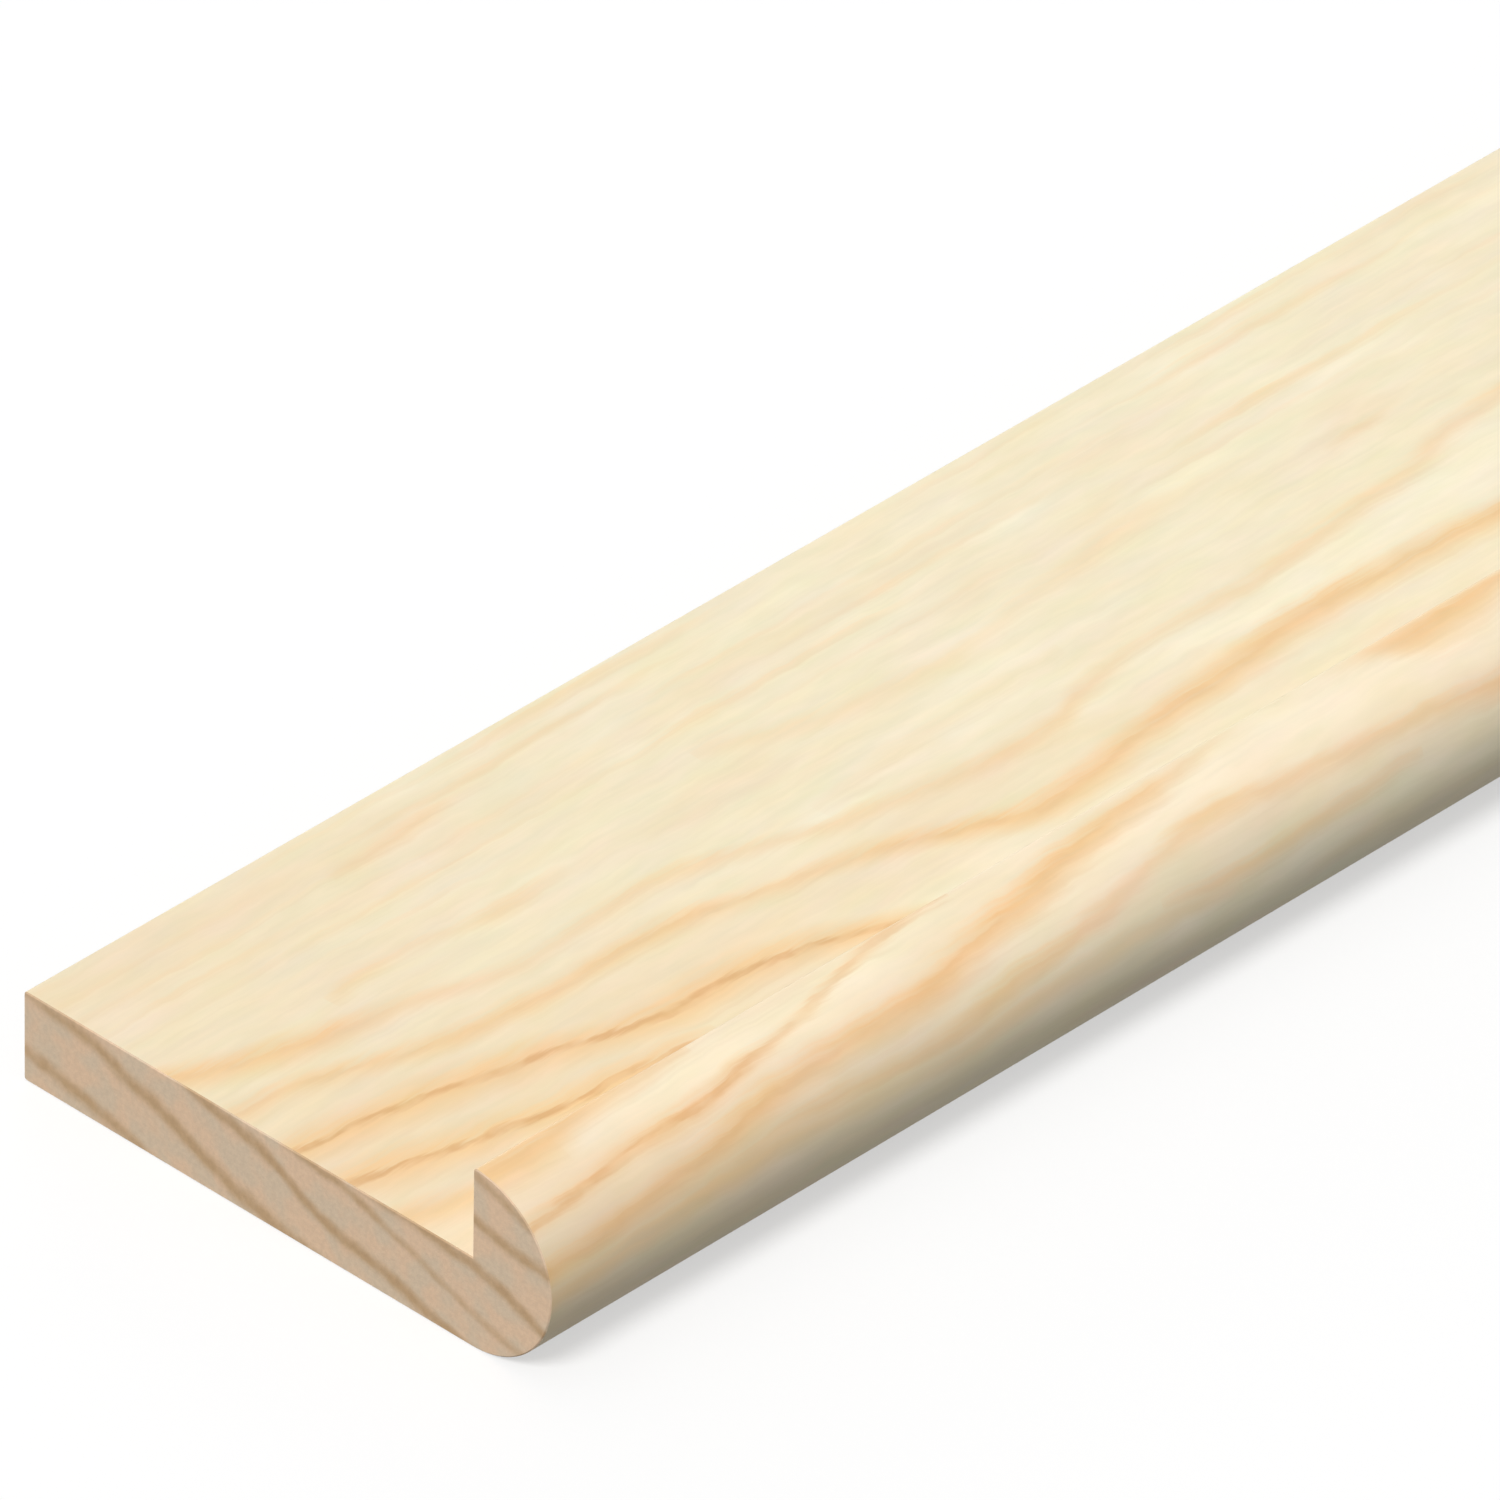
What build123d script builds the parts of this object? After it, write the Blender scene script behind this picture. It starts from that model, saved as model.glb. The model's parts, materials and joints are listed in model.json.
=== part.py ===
from build123d import *
import os

# Hockey stick moulding: one length of machined pine, sawn square at both ends.
# The section is a thin flat blade with a lip along one long edge. The lip stands proud of the
# blade, has an upright inner face that meets the blade in a crisp corner, and is rounded over its
# whole depth on the outside, from the crest down to the flat back.
# X runs along the length, the lip is on the -Y side and Z is up from the flat back.
# The origin is the middle of the box's underside.

# Driving dimensions, in millimetres
LENGTH = 2400.0
WIDTH = 34.0
HEIGHT = 10.0
BLADE_THICKNESS = 5.0
LIP_WIDTH = 5.0
ARRIS_RADIUS = 0.2

# Places worked out from them, across the width and up from the back
SQUARE_EDGE_Y = WIDTH / 2
NOSE_Y = -WIDTH / 2
LIP_INNER_Y = NOSE_Y + LIP_WIDTH
NOSE_RISE = HEIGHT / 2


def section_outline():
    """The closed outline of the section, drawn on the plane that the length grows from."""
    back_at_square_edge = (SQUARE_EDGE_Y, 0)
    blade_at_square_edge = (SQUARE_EDGE_Y, BLADE_THICKNESS)
    rebate_corner = (LIP_INNER_Y, BLADE_THICKNESS)
    crest = (LIP_INNER_Y, HEIGHT)
    back_at_nose = (LIP_INNER_Y, 0)
    with BuildLine() as outline:
        Polyline(back_at_nose, back_at_square_edge, blade_at_square_edge, rebate_corner, crest)
        # Half round: it is as deep as the lip is wide, and as tall as the section
        EllipticalCenterArc(
            center=(LIP_INNER_Y, NOSE_RISE),
            x_radius=LIP_WIDTH,
            y_radius=NOSE_RISE,
            start_angle=90,
            arc_size=180,
        )
    return outline.line


def eased_corners(section):
    """The corners that the machine leaves lightly eased: both of the square edge, and the crest."""
    on_square_edge = section.vertices().filter_by_position(Axis.X, SQUARE_EDGE_Y, SQUARE_EDGE_Y)
    crest = section.vertices().sort_by(Axis.Y)[-1]
    return [*on_square_edge, crest]


def make_section():
    with BuildSketch(Plane.XY) as section:
        make_face(section_outline())
        fillet(eased_corners(section), radius=ARRIS_RADIUS)
    return section.sketch


def make_moulding():
    """The section, stood upright and run along the length, centred on the origin."""
    upright = Plane(origin=(-LENGTH / 2, 0, 0), x_dir=(0, 1, 0), z_dir=(1, 0, 0))
    return extrude(upright * make_section(), amount=LENGTH)


def main():
    os.makedirs("parts", exist_ok=True)
    moulding = make_moulding()
    moulding.label = "hockey_stick_moulding"
    export_step(moulding, "parts/hockey_stick_moulding.step")


main()
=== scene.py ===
import json
import math
from collections import namedtuple

import bmesh
import bpy
from bpy.props import FloatProperty, FloatVectorProperty, IntProperty, PointerProperty
from bpy.types import NodeSocket, Operator, Panel, PropertyGroup
from mathutils import Matrix, Vector


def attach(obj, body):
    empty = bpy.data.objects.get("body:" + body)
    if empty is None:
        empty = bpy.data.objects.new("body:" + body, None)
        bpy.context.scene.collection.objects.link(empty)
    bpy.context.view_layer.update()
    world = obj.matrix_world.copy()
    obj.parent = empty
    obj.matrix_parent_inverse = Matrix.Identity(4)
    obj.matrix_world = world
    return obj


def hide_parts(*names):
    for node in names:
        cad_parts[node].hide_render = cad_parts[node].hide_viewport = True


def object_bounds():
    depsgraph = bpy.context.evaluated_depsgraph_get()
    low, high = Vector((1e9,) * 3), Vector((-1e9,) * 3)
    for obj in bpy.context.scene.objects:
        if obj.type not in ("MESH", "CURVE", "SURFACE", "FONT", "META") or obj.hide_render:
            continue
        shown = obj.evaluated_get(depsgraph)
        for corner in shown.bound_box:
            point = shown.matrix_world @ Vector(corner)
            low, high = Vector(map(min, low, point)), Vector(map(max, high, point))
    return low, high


bl_info = {
    "name": "Hockey stick moulding",
    "version": (1, 0, 0),
    "blender": (4, 5, 0),
    "location": "3D View > Sidebar > Moulding",
    "description": "A length of pine hockey stick moulding, machined, sawn off and lit on a pale floor",
    "category": "Object",
}

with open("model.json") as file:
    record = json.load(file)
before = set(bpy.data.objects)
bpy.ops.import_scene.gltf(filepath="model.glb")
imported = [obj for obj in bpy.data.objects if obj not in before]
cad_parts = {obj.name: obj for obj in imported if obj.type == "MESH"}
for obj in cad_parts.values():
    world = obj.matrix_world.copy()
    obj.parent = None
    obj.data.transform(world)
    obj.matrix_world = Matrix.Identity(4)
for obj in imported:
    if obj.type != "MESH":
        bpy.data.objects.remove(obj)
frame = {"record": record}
CAD_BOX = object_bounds()
CAD_LOW, CAD_HIGH = CAD_BOX
MOUNTS = {mount["name"]: Vector(mount["pos_m"]) for mount in frame["record"]["mounts"]}
NODE = "hockey_stick_moulding"
BODY = "root"

MM = 0.001
IMAGE_PIXELS = 1500
SENSOR = 36.0

# Points nearer than this are one point, and a point is past a plane when it is past it by a hair
TOUCH = 1e-6
HAIR = 1e-7
# How squarely a face looks along the length if it is a sawn end, and if it has the sawn finish
SAWN_LEAN = 0.9
SAWN_FINISH_LEAN = 0.5
# Corners turned by less than this are smooth
SMOOTH_UNDER = math.radians(30)

# The square sheet that the finish is baked through, in shares of its side: the height of the strip
# for each half of the length, where the two sawn ends start, and the gap left round each part
STRIP_HEIGHT = 0.41
ENDS_FROM = 0.86
SHEET_MARGIN = 0.006


def paint(red, green, blue):
    """A colour as it is seen on a screen, from 0 to 255, turned into the numbers that light uses."""
    def linear(value):
        share = value / 255
        return share / 12.92 if share <= 0.04045 else ((share + 0.055) / 1.055) ** 2.4
    return (linear(red), linear(green), linear(blue))


# Grain lines that show on the near end of the length. A course runs from the sawn end, as
# (along, across) in millimetres, and its strength as (along, share). Across is measured round the
# section: over the blade from the arris of the square edge, up the lip, and down over the nosing.
# Each line is a soft orange wash, with a thin brown core where the summer wood is hard. Its width is
# in millimetres, and its core is a share of its strength.
GrainLine = namedtuple("GrainLine", "course strength width core")
BLADE_LINES = (
    GrainLine(
        ((0, 9.6), (4, 11.3), (11.5, 13.0), (16.5, 14.3), (24, 14.1), (29, 14.7), (36.5, 17.0),
         (43, 18.0), (49, 18.5), (52, 17.4), (58, 16.8), (65, 16.8), (76, 15.7), (80, 14.7), (86, 14)),
        ((0, 1), (7, 0.9), (12, 0.45), (20, 0.35), (25, 0.5), (33, 0.4), (40, 0.45), (51, 0.5), (57, 0.3),
         (66, 0.45), (75, 0.4), (88, 0.55)),
        1.3, 0.12),
    GrainLine(
        ((0, 13.6), (5, 14.4), (10, 16.1), (16.5, 16.9), (24, 17.1), (30, 18.2), (36.5, 19.8),
         (40, 21.2), (43.4, 22.5), (47, 22.4), (52, 21.5), (58, 21.1), (64.6, 20.3), (71, 20.7), (80, 21.1)),
        ((0, 0.7), (8, 0.7), (16, 0.7), (24, 0.8), (31, 0.6), (37, 0.82), (45, 1), (52, 0.9),
         (60, 0.95), (72, 0.92), (84, 0.9)),
        1.2, 0.2),
    GrainLine(
        ((0, 17.6), (5, 18.4), (11.5, 19.6), (14, 20.3), (17.8, 21.6), (24, 21.9), (28, 22.7), (33, 24.4)),
        ((0, 0.95), (5, 1), (13, 1), (18, 0.9), (24, 1), (29, 0.95), (33, 0.7), (37, 0)),
        1.5, 0.74),
    GrainLine(
        ((0, 20.9), (3, 21.7), (8.4, 23.1), (14.6, 24.1), (22, 24.6)),
        ((0, 0.85), (3, 1), (9, 0.95), (16, 0.8), (21, 0)),
        1.6, 0.8),
    GrainLine(
        ((0, 24.6), (4, 25.6), (9, 26.6)),
        ((0, 0.85), (3, 0.75), (8, 0)),
        1.5, 0.0),
    GrainLine(
        ((38, 9.4), (44, 10.9), (51, 11.1), (58, 10.2), (64, 9.5), (70, 9.6)),
        ((35, 0), (40, 0.35), (48, 0.3), (55, 0.2), (62, 0.35), (68, 0.15), (73, 0)),
        1.8, 0.0),
    GrainLine(
        ((8, 11), (12, 10), (15, 9.9), (18, 10.6), (22, 10.6), (25, 10.4)),
        ((9, 0), (12, 0.45), (15, 0.3), (18, 0.35), (20.5, 0.55), (22.5, 0.4), (25, 0)),
        1.2, 0.0),
    GrainLine(
        ((15, 3.5), (20, 3.4), (25, 3.1)),
        ((16, 0), (19, 0.45), (21.5, 0.45), (25, 0.1), (28, 0)),
        1.1, 0.15),
    GrainLine(
        ((73, 11.9), (77, 11.7), (81, 11.4)),
        ((74.5, 0), (76.4, 0.2), (77, 0.24), (77.6, 0.2), (79.5, 0)),
        1.1, 0.6),
)
NOSING_LINES = (
    GrainLine(
        ((0, 34.6), (3.5, 34.5), (6, 34), (13, 33.9)),
        ((0, 1), (3, 1), (6, 0.8), (10, 0.75), (14, 0)),
        1.3, 0.15),
    GrainLine(
        ((0, 38), (5, 37.3), (10, 37.1), (14, 36.8), (18, 36.1), (22, 35.2), (26, 34.4), (30, 34)),
        ((0, 0.6), (6, 0.65), (12, 0.75), (16, 0.55), (20, 0.35), (26, 0.45), (31, 0)),
        0.9, 0.6),
    GrainLine(
        ((0, 40.2), (5, 39.8), (13.4, 38.8), (19.6, 38), (26, 37.8), (29, 37.1), (34, 36.3),
         (39, 35.3), (43.4, 34.8), (50, 34.3)),
        ((0, 1), (5, 0.75), (13, 0.85), (20, 0.75), (26, 0.8), (35, 0.85), (41, 0.75), (45, 0.45), (50, 0)),
        1.2, 0.2),
    GrainLine(
        ((9, 40.4), (20, 40), (25, 40.3), (30, 39.7), (36.5, 38.9), (40, 38.2), (43.5, 37.4), (47, 37.4),
         (50, 37.8), (54, 38.2), (58, 38.5), (64, 39), (72, 39.4)),
        ((8, 0), (14, 0.45), (24, 0.5), (30, 0.6), (36, 0.55), (40, 0.4), (44, 0.55), (48, 0.5), (54, 0.4),
         (60, 0.5), (68, 0.6), (76, 0.6)),
        1.15, 0.15),
    GrainLine(
        ((42, 40.3), (50, 40.4), (58, 40)),
        ((40, 0), (46, 0.5), (53, 0.45), (58, 0)),
        1.0, 0.0),
    GrainLine(
        ((0, 41.7), (6, 41.2), (14, 40.7), (24, 41.2), (34, 40.9), (42, 41)),
        ((0, 0.7), (6, 0.5), (13, 0.6), (20, 0.3), (30, 0.4), (40, 0.35), (46, 0)),
        1.3, 0.0),
    GrainLine(
        ((54, 34.3), (58, 34.5), (60.5, 34.8), (64, 34.6), (71, 34.4)),
        ((54, 0), (57, 0.15), (59.5, 0.6), (62.5, 0.95), (66, 0.85), (71, 0.4), (76, 0)),
        1.3, 0.15),
)
# Where the wood between the grain lines is at its palest
PALE_LINES = (
    GrainLine(
        ((4, 35.4), (12, 35.5), (20, 35.8), (27, 35.3), (32, 34.7)),
        ((4, 0), (9, 0.8), (20, 1), (27, 0.6), (33, 0)),
        1.3, 0.0),
    GrainLine(
        ((26, 38.9), (34, 38.1), (40, 36.8), (46, 35.8), (52, 35.9), (60, 36.6), (70, 37)),
        ((24, 0), (34, 0.6), (44, 1), (52, 1), (60, 0.9), (72, 0.7), (78, 0)),
        1.4, 0.0),
    GrainLine(
        ((58, 18.9), (70, 18.5), (82, 17.6)),
        ((58, 0), (68, 0.9), (80, 1), (90, 0.5)),
        1.4, 0.0),
)
# Where it is at its warmest, near the sawn end
WARM_LINES = (
    GrainLine(
        ((0, 18.4), (8, 19.2), (16, 20.2), (30, 20.2), (45, 20.6), (60, 21)),
        ((0, 1), (12, 0.85), (30, 0.6), (48, 0.5), (60, 0)),
        4.9, 0.0),
    GrainLine(
        ((0, 1.6), (12, 2.2), (30, 2.4)),
        ((0, 0.8), (10, 0.7), (22, 0.4), (34, 0)),
        2.2, 0.0),
    GrainLine(
        ((20, 5.5), (30, 5.2), (42, 4.5), (52, 4.4)),
        ((20, 0), (26, 0.6), (34, 0.5), (44, 0.5), (56, 0)),
        1.7, 0.0),
    GrainLine(
        ((36, 15.6), (44, 14.8), (52, 14.4)),
        ((36, 0), (42, 0.55), (47, 0.55), (54, 0)),
        1.4, 0.0),
)
# Rings across the sawn end. Here a course runs in from the square edge, and its second number is
# the height above the back, taken back up the slope of the rings.
END_LINES = (
    GrainLine(
        ((0, 1.75), (2.1, 1.9), (3.6, 2), (6.5, 2.1)),
        ((0, 0.8), (3, 1), (8, 0.8), (12, 0)),
        0.55, 0.3),
    GrainLine(
        ((0, 5), (1.5, 5.2), (3, 5.5), (4.7, 5.6), (6, 5.4), (8, 5.35), (10, 5.2), (13, 4.85), (16, 4.8)),
        ((0, 0.5), (2, 0.8), (5, 1), (20, 1)),
        0.6, 0.4),
    GrainLine(
        ((10, 8.1), (12.3, 8.15), (14.5, 8.3), (16.2, 8.2), (17.9, 7.75), (19.5, 7.5), (22.6, 7.7),
         (28, 7.7)),
        ((0, 0.9), (20, 1), (30, 1)),
        0.5, 0.5),
    GrainLine(
        ((18, 10.1), (19.5, 10.25), (21.5, 10.5), (23.5, 10.4), (25.7, 10.25), (28.4, 10.05), (34, 10.1)),
        ((0, 0.85), (22, 0.85), (25, 0.6), (34, 0.65)),
        0.45, 0.3),
    GrainLine(((28, 12.5), (30.4, 12.75), (32, 12.6), (34, 12.3)), ((0, 1), (34, 0.95)), 0.5, 0.5),
    GrainLine(((28, 15.2), (30, 15.35), (32, 15.5), (34, 15.8)), ((0, 1), (34, 0.95)), 0.5, 0.3),
    GrainLine(((28, 17.8), (34, 17.6)), ((0, 0.9), (34, 0.8)), 0.5, 0.2),
)
# How steeply the rings of the sawn end fall from the square edge towards the lip
END_RING_SLOPE = 0.28
# How far the drawn curves reach, in millimetres
CHART_LENGTH = 100.0
CHART_WIDTH = 50.0
# Shares of red, green and blue: how deep the small spots are, how far their hues stray, and the cast
# of the blade and of the lip. The lip's cast is painted light: it makes the lip, the nosing and the
# blade beside the lip lighter and warmer than the rest of the blade.
SPOT_DEPTHS = (0.019, 0.014, 0.025)
HUE_REACH = (0.1, 0.07, 0.18)
BLADE_CAST = (0.975, 0.987, 0.985)
LIP_PAINTED_LIGHT = (1.06, 1.012, 1.0)


class SectionSizes(PropertyGroup):
    length: FloatProperty(
        name="Length", description="From one sawn end to the other", unit="LENGTH",
        default=CAD_HIGH.x - CAD_LOW.x, min=0.1)
    width: FloatProperty(
        name="Width", description="From the square edge to the front of the nosing", unit="LENGTH",
        default=CAD_HIGH.y - CAD_LOW.y, min=0.01)
    height: FloatProperty(
        name="Height", description="From the flat back to the crest of the lip", unit="LENGTH",
        # The mount on the lip's inner face is half way up it
        default=2 * MOUNTS["lip_inner_face"].z - MOUNTS["blade_face"].z, min=0.004)
    blade: FloatProperty(
        name="Blade thickness", description="From the flat back to the face beside the lip", unit="LENGTH",
        default=MOUNTS["blade_face"].z, min=0.001)
    lip: FloatProperty(
        name="Lip width", description="From the inner face of the lip to the front of the nosing",
        unit="LENGTH", default=MOUNTS["lip_inner_face"].y - CAD_LOW.y, min=0.001)
    arris: FloatProperty(
        name="Arris radius", description="How far the long corners are eased", unit="LENGTH",
        default=0.2 * MM, min=0.0)
    sawn_arris: FloatProperty(
        name="Sawn arris", description="How far the corners round each sawn end are worn", unit="LENGTH",
        default=0.06 * MM, min=0.0)
    nosing_steps: IntProperty(
        name="Nosing steps", description="Flats that the half round is made from", default=48, min=8)
    stations: IntProperty(
        name="Stations", description="Parts that the length is cut into", default=48, min=2)


class PineColours(PropertyGroup):
    pale: FloatVectorProperty(
        name="Pale wood", description="Spring wood of the planed faces", subtype="COLOR",
        default=paint(244, 230, 198), min=0, max=1)
    cream: FloatVectorProperty(
        name="Cream wood", description="The palest patches of the planed faces", subtype="COLOR",
        default=paint(249, 237, 208), min=0, max=1)
    warm: FloatVectorProperty(
        name="Warm wood", description="Peach patches, and the wood next to the sawn ends", subtype="COLOR",
        default=paint(241, 219, 184), min=0, max=1)
    line: FloatVectorProperty(
        name="Grain line", description="Soft orange summer wood on the planed faces", subtype="COLOR",
        default=paint(241, 203, 150), min=0, max=1)
    core: FloatVectorProperty(
        name="Grain core", description="Hard brown summer wood in the middle of a line", subtype="COLOR",
        default=paint(224, 175, 118), min=0, max=1)
    end_pale: FloatVectorProperty(
        name="Sawn end", description="Pinkish spring wood across the grain", subtype="COLOR",
        default=paint(225, 194, 163), min=0, max=1)
    end_grey: FloatVectorProperty(
        name="Sawn end, greyed", description="Duller patches across the grain", subtype="COLOR",
        default=paint(215, 193, 166), min=0, max=1)
    end_line: FloatVectorProperty(
        name="Sawn ring", description="Summer wood across the grain", subtype="COLOR",
        default=paint(197, 165, 127), min=0, max=1)
    end_core: FloatVectorProperty(
        name="Sawn ring core", description="The darkest of the summer wood across the grain",
        subtype="COLOR", default=paint(184, 151, 114), min=0, max=1)


class StageSettings(PropertyGroup):
    floor_size: FloatProperty(
        name="Floor size", description="Length of each side of the floor", unit="LENGTH", default=60.0)
    floor: FloatVectorProperty(
        name="Floor", description="The pale floor, as it is seen", subtype="COLOR", default=(1, 1, 1))
    floor_bounce: FloatProperty(
        name="Floor bounce", description="How much light the floor throws back", default=0.15, min=0, max=1)
    shadow: FloatProperty(
        name="Shadow", description="How dark the shadow on the floor is left", default=0.45, min=0, max=1)
    sky: FloatProperty(
        name="Soft light", description="Light from all round", default=0.42, min=0)
    lamp: FloatProperty(
        name="Lamp", description="Light from above", default=2.42, min=0)
    lamp_side: FloatVectorProperty(
        name="Lamp side", description="Where the lamp hangs, seen from the moulding",
        subtype="DIRECTION", default=(-0.65, -0.2, 0.733))
    lamp_spread: FloatProperty(
        name="Lamp spread", description="How wide the lamp looks, which softens its shadows",
        subtype="ANGLE", default=math.radians(20))
    fill: FloatProperty(
        name="Fill", description="Weak light on the sides that the lamp doesn't reach", default=0.7, min=0)
    fill_side: FloatVectorProperty(
        name="Fill side", description="Where the weak light hangs, seen from the moulding",
        subtype="DIRECTION", default=(0.7, 0.7, 0.1))
    fill_spread: FloatProperty(
        name="Fill spread", description="How wide the weak light looks, which softens its shadows",
        subtype="ANGLE", default=math.radians(30))
    azimuth: FloatProperty(
        name="Azimuth", description="Where the camera stands round the moulding", subtype="ANGLE",
        default=math.radians(-46.256))
    elevation: FloatProperty(
        name="Elevation", description="How far the camera looks down", subtype="ANGLE",
        default=math.radians(35.146))
    roll: FloatProperty(
        name="Roll", description="How far the camera is tipped", subtype="ANGLE",
        default=math.radians(1.008))
    focal: FloatProperty(
        name="Focal length", description="In pixels of the picture", default=26958.0)
    distance: FloatProperty(
        name="Distance", description="From the camera to what it looks at", unit="LENGTH", default=1.2528)
    aim_along: FloatProperty(
        name="Aim along", description="From the near sawn end to what the camera looks at",
        unit="LENGTH", default=37.49 * MM)
    aim_across: FloatProperty(
        name="Aim across", description="From the middle of the width to what the camera looks at",
        unit="LENGTH", default=7.05 * MM)


# Shaping


def start_afresh():
    """Leaves object mode with nothing selected."""
    if bpy.context.mode != "OBJECT":
        bpy.ops.object.mode_set(mode="OBJECT")
    bpy.ops.object.select_all(action="DESELECT")
    bpy.context.view_layer.objects.active = None


def pick(kind, wanted):
    """In edit mode, selects the vertices or edges that wanted() says yes to, and no others."""
    bpy.ops.mesh.select_mode(type=kind)
    bpy.ops.mesh.select_all(action="DESELECT")
    mesh = bpy.context.edit_object.data
    shape = bmesh.from_edit_mesh(mesh)
    parts = {"VERT": shape.verts, "EDGE": shape.edges}[kind]
    found = [part for part in parts if wanted(part)]
    if not found:
        raise RuntimeError("nothing was found to select")
    for part in found:
        part.select_set(True)
    shape.select_flush_mode()
    bmesh.update_edit_mesh(mesh)


def is_sawn(face):
    """Whether a face is part of a sawn end, and not of the worn corners round it."""
    return abs(face.normal.x) > SAWN_LEAN


class Section:
    """Where the parts of the section are, worked out from its sizes."""

    def __init__(self, sizes):
        self.sizes = sizes
        self.start = -sizes.length / 2
        self.square_edge = sizes.width / 2
        self.lip_inner = sizes.lip - sizes.width / 2
        self.nose_rise = sizes.height / 2
        self.lip_rise = sizes.height - sizes.blade
        self.blade_width = self.square_edge - self.lip_inner
        self.round_length = math.pi * self.nose_rise
        self.girth = 2 * self.blade_width + self.lip_rise + self.round_length + sizes.blade

    def at(self, y, z):
        return Vector((self.start, y, z))

    def across(self, point, face):
        """How far round the section a face's point lies, from the square edge's upper arris over the lip."""
        normal = face.normal
        over_blade = self.square_edge - point.y
        if is_sawn(face):
            return over_blade
        if normal.y > 0.5 and point.y > self.lip_inner + self.sizes.arris:
            return point.z - self.sizes.blade
        if normal.y > 0.5:
            return self.blade_width + point.z - self.sizes.blade
        if normal.z > 0.5 and point.z < self.sizes.blade + HAIR:
            return over_blade
        crest = self.blade_width + self.lip_rise
        if point.y < self.lip_inner - HAIR:
            turn = math.atan2(self.lip_inner - point.y, point.z - self.nose_rise)
            return crest + self.nose_rise * turn
        return crest + (self.round_length if normal.z < 0 else 0) + max(point.y - self.lip_inner, 0)


def draw_section(section):
    """The blade's rectangle, and the lip beside it with its outline spun over from the crest."""
    sizes = section.sizes
    middle = section.at((section.square_edge + section.lip_inner) / 2, sizes.blade / 2)
    bpy.ops.mesh.primitive_plane_add(size=1, location=middle, rotation=(0, math.pi / 2, 0))
    piece = bpy.context.object
    bpy.ops.object.transform_apply(location=True, rotation=True, scale=True)
    bpy.ops.object.mode_set(mode="EDIT")
    bpy.ops.transform.resize(value=(1, section.blade_width, sizes.blade), center_override=middle)
    foot = section.at(section.lip_inner, sizes.blade)
    pick("VERT", lambda vert: (vert.co - foot).length < TOUCH)
    bpy.ops.mesh.extrude_region_move(TRANSFORM_OT_translate={"value": (0, 0, section.lip_rise)})
    axis = section.at(section.lip_inner, section.nose_rise)
    bpy.ops.mesh.spin(steps=sizes.nosing_steps, angle=-math.pi, center=axis, axis=(1, 0, 0))
    bpy.ops.mesh.select_all(action="SELECT")
    bpy.ops.mesh.remove_doubles(threshold=TOUCH)
    pick("VERT", lambda vert: vert.co.y < section.lip_inner - HAIR)
    stretch = sizes.lip / section.nose_rise
    bpy.ops.transform.resize(value=(1, stretch, 1), center_override=axis)
    pick("VERT", lambda vert: vert.co.y < section.lip_inner + TOUCH)
    bpy.ops.mesh.edge_face_add()
    return piece


def ease_long_corners(section):
    """Rounds the two corners of the square edge and the crest, while the section is still flat."""
    corners = (
        section.at(section.square_edge, 0),
        section.at(section.square_edge, section.sizes.blade),
        section.at(section.lip_inner, section.sizes.height),
    )
    pick("VERT", lambda vert: any((vert.co - corner).length < TOUCH for corner in corners))
    bpy.ops.mesh.bevel(offset=section.sizes.arris, segments=4, affect="VERTICES")


def check_closed(piece):
    """Stops the work if any edge isn't where just two faces meet."""
    shape = bmesh.new()
    shape.from_mesh(piece.data)
    gaps = sum(1 for edge in shape.edges if not edge.is_manifold)
    shape.free()
    if gaps:
        raise RuntimeError(f"{piece.name} is open along {gaps} edges")


def run_length(section):
    """Pushes the section along the length, then cuts the long faces at each station."""
    sizes = section.sizes
    bpy.ops.mesh.select_all(action="SELECT")
    bpy.ops.mesh.extrude_region_move(TRANSFORM_OT_translate={"value": (sizes.length, 0, 0)})
    bpy.ops.mesh.select_all(action="SELECT")
    bpy.ops.mesh.normals_make_consistent(inside=False)
    pick("EDGE", lambda edge: edge.calc_length() > sizes.length / 2)
    bpy.ops.mesh.subdivide(number_cuts=sizes.stations - 1)


def wear_sawn_corners(section):
    """Takes a hair off the corner round each sawn end."""
    def outlines_an_end(edge):
        ends = [is_sawn(face) for face in edge.link_faces]
        return any(ends) and not all(ends)
    pick("EDGE", outlines_an_end)
    bpy.ops.mesh.bevel(offset=section.sizes.sawn_arris, segments=1, affect="EDGES")


def smooth_rounds(piece):
    """Smooths the half round and the eased corners, and keeps the flats flat beside them."""
    bpy.ops.object.mode_set(mode="OBJECT")
    bpy.ops.object.shade_smooth_by_angle(angle=SMOOTH_UNDER)
    modifier = piece.modifiers.new("flats_stay_flat", "WEIGHTED_NORMAL")
    modifier.keep_sharp = True
    bpy.ops.object.modifier_apply(modifier=modifier.name)


def end_on_sheet(section, point, far):
    """Where a point of a sawn end lies on the square sheet."""
    scale = (1 - ENDS_FROM - 2 * SHEET_MARGIN) / section.sizes.height
    left = (0.5 if far else 0) + SHEET_MARGIN
    right_by = scale * (section.square_edge - point.y)
    return (left + right_by, ENDS_FROM + SHEET_MARGIN + scale * point.z)


def side_on_sheet(section, along, across, far):
    """Where a point of the long faces lies on the square sheet. The far half is above the near one."""
    half = section.sizes.length / 2
    share = (along - half * far) / half
    low = SHEET_MARGIN + far * (STRIP_HEIGHT + 2 * SHEET_MARGIN)
    round_by = (across + section.sizes.blade) / section.girth
    return (SHEET_MARGIN + (1 - 2 * SHEET_MARGIN) * share, low + STRIP_HEIGHT * round_by)


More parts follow.
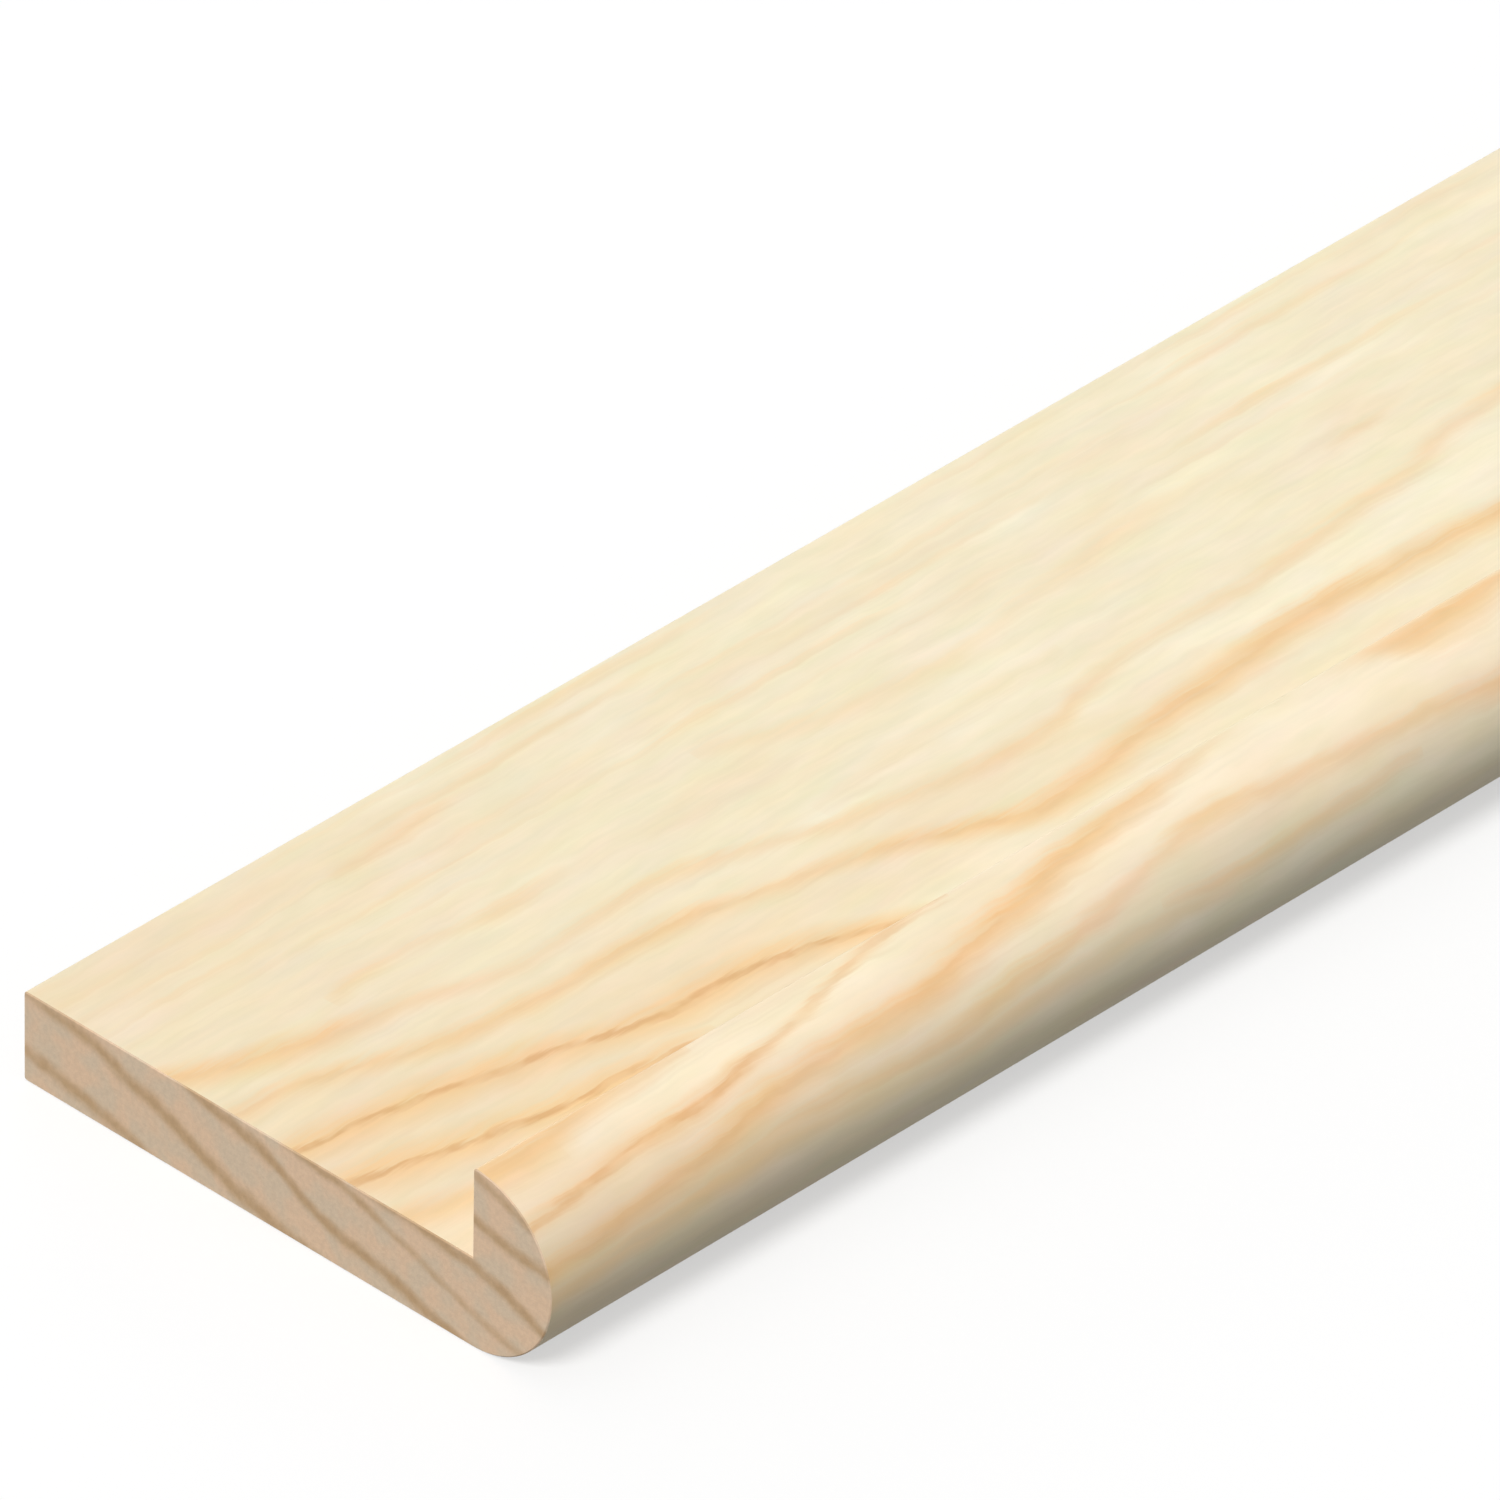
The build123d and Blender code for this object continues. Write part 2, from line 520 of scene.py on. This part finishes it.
def lay_out_grain(piece, section):
    """Gives the piece the map that its grain follows, and the map that its finish is baked through.

    The first is in metres, along from the near end and round the section. The second fills a
    square: the length is cut in two halves, one above the other, with both sawn ends over them.
    """
    for name in ("grain", "OFBake"):
        piece.data.uv_layers.new(name=name)
    grain, sheet = (piece.data.uv_layers[name] for name in ("grain", "OFBake"))
    for face in piece.data.polygons:
        for loop in face.loop_indices:
            point = piece.data.vertices[piece.data.loops[loop].vertex_index].co
            along, across = point.x - section.start, section.across(point, face)
            grain.uv[loop].vector = (along, across)
            if is_sawn(face):
                sheet.uv[loop].vector = end_on_sheet(section, point, face.center.x > 0)
            else:
                sheet.uv[loop].vector = side_on_sheet(section, along, across, face.center.x > 0)
    piece.data.uv_layers.active = grain
    grain.active_render = True


# Finishes


class Nodes:
    """Adds nodes to one tree. An input that is given a socket is linked, and any other is set."""

    def __init__(self, tree):
        self.tree = tree

    def give(self, socket, value):
        """Links another socket to this one, or sets it to a plain value."""
        if isinstance(value, NodeSocket):
            self.tree.links.new(value, socket)
        else:
            socket.default_value = value

    def add(self, kind, inputs=None, **settings):
        node = self.tree.nodes.new(kind)
        for name, value in settings.items():
            setattr(node, name, value)
        for key, value in (inputs or {}).items():
            self.give(node.inputs[key], value)
        return node

    def math(self, operation, *values):
        return self.add("ShaderNodeMath", dict(enumerate(values)), operation=operation).outputs[0]

    def vectors(self, operation, *values):
        return self.add("ShaderNodeVectorMath", dict(enumerate(values)), operation=operation).outputs[0]

    def scaled(self, vector, share):
        inputs = {"Vector": vector, "Scale": share}
        return self.add("ShaderNodeVectorMath", inputs, operation="SCALE").outputs[0]

    def fade(self, value, low, high, to_low=0.0, to_high=1.0):
        """A smooth change from to_low to to_high as value goes from low to high."""
        inputs = {"Value": value, "From Min": low, "From Max": high, "To Min": to_low, "To Max": to_high}
        node = self.add("ShaderNodeMapRange", inputs, interpolation_type="SMOOTHSTEP")
        return node.outputs["Result"]

    def chart(self, value, points, wide, high):
        """Reads a drawn curve, whose points are given in its own units, up to wide and high."""
        node = self.add("ShaderNodeFloatCurve", {"Value": self.math("DIVIDE", value, wide)})
        curve = node.mapping.curves[0]
        while len(curve.points) < len(points):
            curve.points.new(0.5, 0.5)
        for point, (x, y) in zip(curve.points, points):
            point.location = (x / wide, y / high)
        node.mapping.update()
        return self.math("MULTIPLY", node.outputs["Value"], high)

    def place(self, x, y, z=0.0):
        return self.add("ShaderNodeCombineXYZ", {"X": x, "Y": y, "Z": z}).outputs[0]

    def drawn_out(self, along, across, per_along, per_across, level=0.0):
        """A place for a pattern that is drawn out along the grain. Each level gives another pattern."""
        x = self.math("MULTIPLY", along, per_along)
        y = self.math("MULTIPLY", across, per_across)
        return self.place(x, y, level)

    def apart(self, vector):
        return self.add("ShaderNodeSeparateXYZ", {"Vector": vector}).outputs

    def texture(self, vector, scale, detail, roughness):
        inputs = {"Vector": vector, "Scale": scale, "Detail": detail, "Roughness": roughness}
        return self.add("ShaderNodeTexNoise", inputs).outputs

    def noise(self, vector, scale=1.0, detail=2.0, roughness=0.5):
        return self.texture(vector, scale, detail, roughness)["Fac"]

    def hues(self, vector, scale=1.0, detail=2.0, roughness=0.5):
        """Three noises in one vector, each of them as often below nought as above it."""
        colour = self.texture(vector, scale, detail, roughness)["Color"]
        return self.vectors("SUBTRACT", colour, (0.5, 0.5, 0.5))

    def mix(self, share, first, second, blend="MIX"):
        node = self.add("ShaderNodeMix", data_type="RGBA", blend_type=blend, clamp_factor=True)
        self.give(node.inputs[0], share)
        for key, colour in ((6, first), (7, second)):
            self.give(node.inputs[key], colour if isinstance(colour, NodeSocket) else (*colour[:3], 1))
        return node.outputs[2]

    def times(self, colour, shades):
        """A colour with each of its channels multiplied by its own shade."""
        return self.mix(1.0, colour, shades, blend="MULTIPLY")

    def group(self, tree, **inputs):
        node = self.add("ShaderNodeGroup", node_tree=tree)
        for name, value in inputs.items():
            self.give(node.inputs[name.capitalize()], value)
        return node.outputs


def new_group(name, inputs, outputs):
    """A node group with named sockets. Returns it, its nodes, its inputs and its output node."""
    tree = bpy.data.node_groups.new(name, "ShaderNodeTree")
    for socket, (kind, value) in inputs.items():
        made = tree.interface.new_socket(socket, in_out="INPUT", socket_type=kind)
        if value is not None:
            made.default_value = value
    for socket, kind in outputs.items():
        tree.interface.new_socket(socket, in_out="OUTPUT", socket_type=kind)
    nodes = Nodes(tree)
    given = nodes.add("NodeGroupInput").outputs
    return tree, nodes, given, nodes.add("NodeGroupOutput")


NUMBER, VECTOR = "NodeSocketFloat", "NodeSocketVector"


def make_wander_group():
    """Moves a place in millimetres a little to and fro, so that no line is drawn too clean."""
    tree, nodes, given, out = new_group(
        "wander", {"Place": (VECTOR, None), "Reach": (NUMBER, 0.2), "Scale": (NUMBER, 0.2)},
        {"Place": VECTOR})
    shift = nodes.scaled(nodes.hues(given["Place"], given["Scale"]), given["Reach"])
    nodes.give(out.inputs["Place"], nodes.vectors("ADD", given["Place"], shift))
    return tree


def make_ring_group():
    """Growth rings one after the other: how far a place is from its ring's line, and how strong it is."""
    tree, nodes, given, out = new_group(
        "growth_rings",
        {"Along": (NUMBER, 0), "Across": (NUMBER, 0), "Spacing": (NUMBER, 3.7), "Reach": (NUMBER, 70)},
        {"Off": NUMBER, "Strength": NUMBER})
    ring = nodes.math("DIVIDE", given["Across"], given["Spacing"])
    from_middle = nodes.math("SUBTRACT", nodes.math("FRACT", ring), 0.5)
    nodes.give(out.inputs["Off"], nodes.math("MULTIPLY", from_middle, given["Spacing"]))
    # Far enough apart that neighbours come and go on their own
    apart = nodes.math("MULTIPLY", nodes.math("FLOOR", ring), 3.3)
    place = nodes.place(nodes.math("DIVIDE", given["Along"], given["Reach"]), apart)
    nodes.give(out.inputs["Strength"], nodes.fade(nodes.noise(place, detail=1.0), 0.36, 0.74))
    return tree


def make_line_group():
    """One grain line: a soft wash that is wider where it is stronger, and a thin core within it."""
    tree, nodes, given, out = new_group(
        "grain_line",
        {"Across": (NUMBER, 0), "Centre": (NUMBER, 0), "Strength": (NUMBER, 1), "Width": (NUMBER, 1),
         "Core": (NUMBER, 0)},
        {"Wash": NUMBER, "Core": NUMBER})
    off = nodes.math("SUBTRACT", given["Across"], given["Centre"])
    half = nodes.math("MULTIPLY", nodes.math("ADD", given["Strength"], 0.35), given["Width"])
    rise = nodes.fade(off, nodes.math("MULTIPLY", half, -0.9), 0.0)
    fall = nodes.fade(off, 0.0, nodes.math("MULTIPLY", half, 1.15), 1.0, 0.0)
    soft = nodes.math("MULTIPLY", rise, fall)
    nodes.give(out.inputs["Wash"], nodes.math("MULTIPLY", soft, given["Strength"]))
    thin = nodes.math("MULTIPLY", nodes.fade(off, -0.3, 0.0), nodes.fade(off, 0.05, 0.6, 1.0, 0.0))
    hard = nodes.math("MULTIPLY", thin, given["Core"])
    nodes.give(out.inputs["Core"], nodes.math("MULTIPLY", hard, given["Strength"]))
    return tree


def make_fibre_group():
    """Fine streaks that run with the grain, slow patches of warmer and paler wood, and mottling."""
    tree, nodes, given, out = new_group(
        "fibre", {"Along": (NUMBER, 0), "Across": (NUMBER, 0)},
        {"Streak": NUMBER, "Patch": NUMBER, "Mottle": NUMBER, "Tint": VECTOR})
    along, across = given["Along"], given["Across"]
    fine = nodes.noise(nodes.drawn_out(along, across, 0.06, 3.2), detail=3.0, roughness=0.6)
    coarse = nodes.noise(nodes.drawn_out(along, across, 0.15, 1.1), detail=3.0, roughness=0.6)
    halves = [nodes.math("MULTIPLY", streaks, 0.5) for streaks in (fine, coarse)]
    nodes.give(out.inputs["Streak"], nodes.math("ADD", *halves))
    nodes.give(out.inputs["Patch"], nodes.noise(nodes.drawn_out(along, across, 0.07, 0.3)))
    nodes.give(out.inputs["Mottle"], nodes.noise(nodes.drawn_out(along, across, 0.32, 1.2, level=7.0)))
    nodes.give(out.inputs["Tint"], nodes.hues(nodes.drawn_out(along, across, 0.2, 0.6, level=13.0)))
    return tree


def draw_lines(nodes, line_group, along, across, lines):
    """The washes and the cores of all the drawn lines, one laid over the other."""
    drawn = []
    for line in lines:
        centre = nodes.chart(along, line.course, CHART_LENGTH, CHART_WIDTH)
        strength = nodes.chart(along, line.strength, CHART_LENGTH, 1.0)
        drawn.append(nodes.group(
            line_group, across=across, centre=centre, strength=strength, width=line.width, core=line.core))
    return lay_over(nodes, drawn)


def lay_over(nodes, drawn):
    """The strongest wash and the strongest core at each place."""
    wash = core = 0.0
    for line in drawn:
        wash = nodes.math("MAXIMUM", wash, line["Wash"])
        core = nodes.math("MAXIMUM", core, line["Core"])
    return {"Wash": wash, "Core": core}


def new_material(name):
    material = bpy.data.materials.new(name)
    material.use_nodes = True
    material.node_tree.nodes.clear()
    nodes = Nodes(material.node_tree)
    shader = nodes.add("ShaderNodeBsdfPrincipled")
    out = nodes.add("ShaderNodeOutputMaterial")
    nodes.give(out.inputs["Surface"], shader.outputs["BSDF"])
    return material, nodes, shader


def raise_grain(nodes, shader, height, strength, depth):
    """Fine relief, which is as deep as depth from where height is 0 to where it is 1."""
    bump = nodes.add("ShaderNodeBump", {"Height": height, "Strength": strength, "Distance": depth})
    nodes.give(shader.inputs["Normal"], bump.outputs["Normal"])


# A place in the planed wood: how far along and round it is, in millimetres, and the fibre there
Wood = namedtuple("Wood", "along across fibre")


def follow_grain(nodes, groups):
    """Reads the map that the grain follows, a little unsteadily, with its lines feathered by the fibre."""
    place = nodes.scaled(nodes.add("ShaderNodeUVMap", uv_map="grain").outputs["UV"], 1 / MM)
    swayed = nodes.group(groups["wander"], place=place, reach=0.9, scale=0.16)["Place"]
    wandered = nodes.group(groups["wander"], place=swayed, reach=0.3, scale=0.75)["Place"]
    along, across = nodes.apart(wandered)[:2]
    fibre = nodes.group(groups["fibre"], along=along, across=across)
    feather = nodes.fade(fibre["Streak"], 0.25, 0.75, -0.28, 0.28)
    return Wood(along, nodes.math("ADD", across, feather), fibre)


def slow_rings(nodes, groups, wood):
    """Rings that drift across, beyond the drawn lines and on the back and the square edge."""
    drift = nodes.noise(
        nodes.drawn_out(wood.along, wood.across, 1 / 210, 1 / 42), detail=1.5, roughness=0.45)
    drifted = nodes.math("ADD", wood.across, nodes.math("MULTIPLY", drift, 34.0))
    rings = nodes.group(groups["rings"], along=wood.along, across=drifted, spacing=4.3)
    on_back = nodes.fade(wood.across, 44.5, 48.0)
    on_square_edge = nodes.fade(wood.across, -3.0, -1.0, 1.0, 0.0)
    far_along = nodes.fade(wood.along, 78.0, 125.0)
    undrawn = nodes.math("MAXIMUM", nodes.math("MAXIMUM", on_back, on_square_edge), far_along)
    strength = nodes.math("MULTIPLY", rings["Strength"], nodes.math("MULTIPLY", undrawn, 0.9))
    hard = nodes.fade(wood.fibre["Patch"], 0.5, 0.65, 0.0, 0.55)
    return nodes.group(groups["line"], across=rings["Off"], strength=strength, width=1.3, core=hard)


def close_rings(nodes, groups, wood):
    """Faint rings that run close and straight beside the square edge."""
    rings = nodes.group(
        groups["rings"], along=wood.along, across=wood.across, spacing=1.45, reach=22.0)
    beside = nodes.math(
        "MULTIPLY", nodes.fade(wood.across, 7.0, 9.5, 1.0, 0.0), nodes.fade(wood.across, -6.0, -4.0))
    faint = nodes.math("MULTIPLY", nodes.math("MULTIPLY", rings["Strength"], beside), 0.42)
    return nodes.group(groups["line"], across=rings["Off"], strength=faint, width=0.75)


def spring_wood(nodes, groups, colours, wood, length):
    """The wood between the lines, in pale, cream and warm patches, and warmer near the sawn ends."""
    patch = wood.fibre["Patch"]
    colour = nodes.mix(nodes.fade(patch, 0.5, 0.72), colours.pale, colours.cream)
    colour = nodes.mix(nodes.fade(patch, 0.45, 0.25, 0.0, 0.6), colour, colours.warm)
    from_end = nodes.math("MINIMUM", wood.along, nodes.math("SUBTRACT", length / MM, wood.along))
    colour = nodes.mix(nodes.fade(from_end, 0.0, 42.0, 0.55, 0.0), colour, colours.warm)
    for lines, shade in ((WARM_LINES, colours.warm), (PALE_LINES, colours.cream)):
        drawn = draw_lines(nodes, groups["line"], wood.along, wood.across, lines)
        colour = nodes.mix(drawn["Wash"], colour, shade)
    return colour


def summer_wood(nodes, colours, wood, colour, drawn):
    """The lines over the wood between them, broken by the fibre into dashes."""
    broken = nodes.fade(wood.fibre["Streak"], 0.3, 0.65, 0.8, 1.2)
    colour = nodes.mix(nodes.math("MULTIPLY", drawn["Wash"], broken), colour, colours.line)
    knit = nodes.noise(nodes.drawn_out(wood.along, wood.across, 0.45, 1.0))
    dashed = nodes.math("MULTIPLY", drawn["Core"], nodes.fade(knit, 0.35, 0.6, 0.55, 1.4))
    return nodes.mix(dashed, colour, colours.core)


def mottled_wood(nodes, wood, colour):
    """Fine streaks and small spots, darker and lighter and of slightly different hues."""
    streak = nodes.fade(wood.fibre["Streak"], 0.3, 0.7, 0.967, 1.018)
    spots = [
        nodes.fade(wood.fibre["Mottle"], 0.3, 0.7, 1 - depth, 1 + depth)
        for depth in SPOT_DEPTHS
    ]
    shades = nodes.place(*(nodes.math("MULTIPLY", streak, spot) for spot in spots))
    tint = nodes.vectors("MULTIPLY_ADD", wood.fibre["Tint"], HUE_REACH, (1, 1, 1))
    return nodes.times(nodes.times(colour, shades), tint)


def paint_light_on_lip(nodes, wood, colour):
    """Paints light on the lip and the blade beside it: lighter and warmer than the rest of the blade, a
    painted highlight over the crest and down the nosing, and painted light where the lip shades the blade.
    """
    beside = nodes.fade(wood.across, 23.0, 28.0)
    over_crest = nodes.fade(wood.across, 34.8, 36.6)
    down_nosing = nodes.fade(wood.across, 38.5, 41.5, 0.5, 0.0)
    share = nodes.math("MULTIPLY", down_nosing, nodes.math("ADD", beside, over_crest))
    return nodes.times(colour, nodes.mix(share, BLADE_CAST, LIP_PAINTED_LIGHT))


def make_planed_pine(colours, groups, length):
    """The long faces: cream spring wood, orange grain lines and fine fibre, planed and unsealed."""
    material, nodes, shader = new_material("planed_pine")
    wood = follow_grain(nodes, groups)
    drawn = lay_over(nodes, [
        draw_lines(nodes, groups["line"], wood.along, wood.across, BLADE_LINES + NOSING_LINES),
        slow_rings(nodes, groups, wood),
        close_rings(nodes, groups, wood),
    ])
    colour = spring_wood(nodes, groups, colours, wood, length)
    colour = summer_wood(nodes, colours, wood, colour, drawn)
    colour = mottled_wood(nodes, wood, colour)
    # The base colour carries painted light on the lip, the nosing and the blade beside the lip
    nodes.give(shader.inputs["Base Color"], paint_light_on_lip(nodes, wood, colour))
    nodes.give(shader.inputs["Roughness"], nodes.fade(drawn["Wash"], 0.0, 1.0, 0.62, 0.5))
    raise_grain(nodes, shader, wood.fibre["Streak"], strength=0.25, depth=0.03 * MM)
    return material


def make_sawn_pine(colours, groups):
    """The sawn ends: tan and greyer than the faces, crossed by sloping brown rings."""
    material, nodes, shader = new_material("sawn_pine")
    place = nodes.scaled(nodes.add("ShaderNodeTexCoord").outputs["Object"], 1 / MM)
    wandered = nodes.group(groups["wander"], place=place, reach=0.5, scale=0.6)["Place"]
    _, across, up = nodes.apart(wandered)
    from_edge = nodes.math("SUBTRACT", CAD_HIGH.y / MM, across)
    level = nodes.math("ADD", up, nodes.math("MULTIPLY", from_edge, END_RING_SLOPE))
    drawn = draw_lines(nodes, groups["line"], from_edge, level, END_LINES)
    grey = nodes.fade(nodes.noise(place, 0.55, 1.5), 0.38, 0.62)
    colour = nodes.mix(grey, colours.end_pale, colours.end_grey)
    broken = nodes.fade(nodes.noise(place, 0.9), 0.35, 0.65, 0.8, 1.15)
    for part, shade in (("Wash", colours.end_line), ("Core", colours.end_core)):
        colour = nodes.mix(nodes.math("MULTIPLY", drawn[part], broken), colour, shade)
    speck = nodes.fade(nodes.noise(place, 3.5, roughness=0.6), 0.3, 0.7, 0.95, 1.04)
    nodes.give(shader.inputs["Base Color"], nodes.times(colour, nodes.place(speck, speck, speck)))
    shader.inputs["Roughness"].default_value = 0.8
    rough = nodes.noise(place, 6.0, 3.0, 0.7)
    height = nodes.math("ADD", rough, nodes.math("MULTIPLY", drawn["Wash"], 0.4))
    raise_grain(nodes, shader, height, strength=0.4, depth=0.06 * MM)
    return material


class MOULDING_OT_make(Operator):
    """Draws the section, runs it along the length and gives it its planed and sawn pine"""

    bl_idname = "moulding.make"
    bl_label = "Make the moulding"

    def execute(self, context):
        section = Section(context.scene.moulding_section)
        start_afresh()
        piece = draw_section(section)
        ease_long_corners(section)
        run_length(section)
        wear_sawn_corners(section)
        smooth_rounds(piece)
        piece.name = piece.data.name = "moulding"
        check_closed(piece)
        lay_out_grain(piece, section)
        groups = {
            "wander": make_wander_group(),
            "rings": make_ring_group(),
            "line": make_line_group(),
            "fibre": make_fibre_group(),
        }
        colours = context.scene.moulding_colours
        piece.data.materials.append(make_planed_pine(colours, groups, section.sizes.length))
        piece.data.materials.append(make_sawn_pine(colours, groups))
        for face in piece.data.polygons:
            face.material_index = int(abs(face.normal.x) > SAWN_FINISH_LEAN)
        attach(piece, BODY)
        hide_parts(NODE)
        return {"FINISHED"}


class MOULDING_OT_stage(Operator):
    """Lays the pale floor, hangs the soft light and stands the camera"""

    bl_idname = "moulding.stage"
    bl_label = "Set the stage"

    def execute(self, context):
        settings = context.scene.moulding_stage
        start_afresh()
        self.lay_floor(settings)
        self.light(context, settings)
        self.stand_camera(context, settings)
        context.scene.view_settings.view_transform = "Standard"
        return {"FINISHED"}

    def seen(self, nodes):
        """Where the floor or the white beyond it is looked at, directly or in a reflection."""
        path = nodes.add("ShaderNodeLightPath").outputs
        mirrored = nodes.math("MAXIMUM", path["Is Glossy Ray"], path["Is Transmission Ray"])
        return nodes.math("MAXIMUM", path["Is Camera Ray"], mirrored)

    def lay_floor(self, settings):
        bpy.ops.mesh.primitive_plane_add(size=settings.floor_size)
        floor = bpy.context.object
        floor.name = "floor"
        material = bpy.data.materials.new("pale_floor")
        material.use_nodes = True
        material.node_tree.nodes.clear()
        nodes = Nodes(material.node_tree)
        seen = self.seen(nodes)
        bounce = settings.floor_bounce
        colour = nodes.mix(seen, (bounce, bounce, bounce), settings.floor)
        lit = nodes.add("ShaderNodeBsdfDiffuse", {"Color": colour})
        even = nodes.add("ShaderNodeEmission", {"Color": (*settings.floor, 1)})
        share = nodes.math("MULTIPLY", seen, 1 - settings.shadow)
        shader = nodes.add("ShaderNodeMixShader", {0: share, 1: lit.outputs[0], 2: even.outputs[0]})
        out = nodes.add("ShaderNodeOutputMaterial")
        nodes.give(out.inputs["Surface"], shader.outputs[0])
        floor.data.materials.append(material)

    def light(self, context, settings):
        world = bpy.data.worlds.new("soft_studio")
        context.scene.world = world
        world.use_nodes = True
        world.node_tree.nodes.clear()
        nodes = Nodes(world.node_tree)
        seen = self.seen(nodes)
        strength = nodes.fade(seen, 0.0, 1.0, settings.sky, 1.0)
        shader = nodes.add("ShaderNodeBackground", {"Color": (1, 1, 1, 1), "Strength": strength})
        out = nodes.add("ShaderNodeOutputWorld")
        nodes.give(out.inputs["Surface"], shader.outputs[0])
        self.hang_lamp("overhead_lamp", settings.lamp, settings.lamp_side, settings.lamp_spread)
        self.hang_lamp("fill_lamp", settings.fill, settings.fill_side, settings.fill_spread)

    def hang_lamp(self, name, strength, side, spread):
        """A far lamp on the given side of the moulding. The wider its spread, the softer its shadows."""
        bpy.ops.object.light_add(type="SUN", location=(0, 0, 2))
        lamp = bpy.context.object
        lamp.name = name
        lamp.data.energy = strength
        lamp.data.angle = spread
        lamp.rotation_mode = "QUATERNION"
        lamp.rotation_quaternion = Vector(side).to_track_quat("Z", "Y")

    def stand_camera(self, context, settings):
        bpy.ops.object.camera_add()
        camera = bpy.context.object
        camera.name = "camera"
        azimuth, elevation, roll = settings.azimuth, settings.elevation, settings.roll
        back = Vector((
            math.sin(azimuth) * math.cos(elevation),
            -math.cos(azimuth) * math.cos(elevation),
            math.sin(elevation),
        ))
        right = Vector((math.cos(azimuth), math.sin(azimuth), 0))
        turned = Matrix((right, back.cross(right), back)).transposed().to_4x4()
        aim = Vector((CAD_LOW.x + settings.aim_along, settings.aim_across, CAD_HIGH.z / 2))
        camera.matrix_world = (
            Matrix.Translation(aim + back * settings.distance) @ turned @ Matrix.Rotation(roll, 4, "Z"))
        camera.data.type = "PERSP"
        camera.data.sensor_width = SENSOR
        camera.data.lens = settings.focal / IMAGE_PIXELS * SENSOR
        camera.data.clip_start = 0.05
        camera.data.clip_end = 100.0
        context.scene.camera = camera


class MOULDING_PT_panel(Panel):
    """The sizes, the colours and the buttons that make the scene"""

    bl_label = "Moulding"
    bl_idname = "MOULDING_PT_panel"
    bl_space_type = "VIEW_3D"
    bl_region_type = "UI"
    bl_category = "Moulding"

    def draw(self, context):
        scene = context.scene
        for group in (scene.moulding_section, scene.moulding_colours, scene.moulding_stage):
            box = self.layout.box()
            for name in group.__annotations__:
                box.prop(group, name)
        self.layout.operator(MOULDING_OT_make.bl_idname)
        self.layout.operator(MOULDING_OT_stage.bl_idname)


CLASSES = (
    SectionSizes, PineColours, StageSettings,
    MOULDING_OT_make, MOULDING_OT_stage, MOULDING_PT_panel,
)


def register():
    for item in CLASSES:
        bpy.utils.register_class(item)
    bpy.types.Scene.moulding_section = PointerProperty(type=SectionSizes)
    bpy.types.Scene.moulding_colours = PointerProperty(type=PineColours)
    bpy.types.Scene.moulding_stage = PointerProperty(type=StageSettings)


def unregister():
    del bpy.types.Scene.moulding_stage
    del bpy.types.Scene.moulding_colours
    del bpy.types.Scene.moulding_section
    for item in reversed(CLASSES):
        bpy.utils.unregister_class(item)


def main():
    register()
    bpy.ops.moulding.make()
    bpy.ops.moulding.stage()


if __name__ == "__main__":
    main()
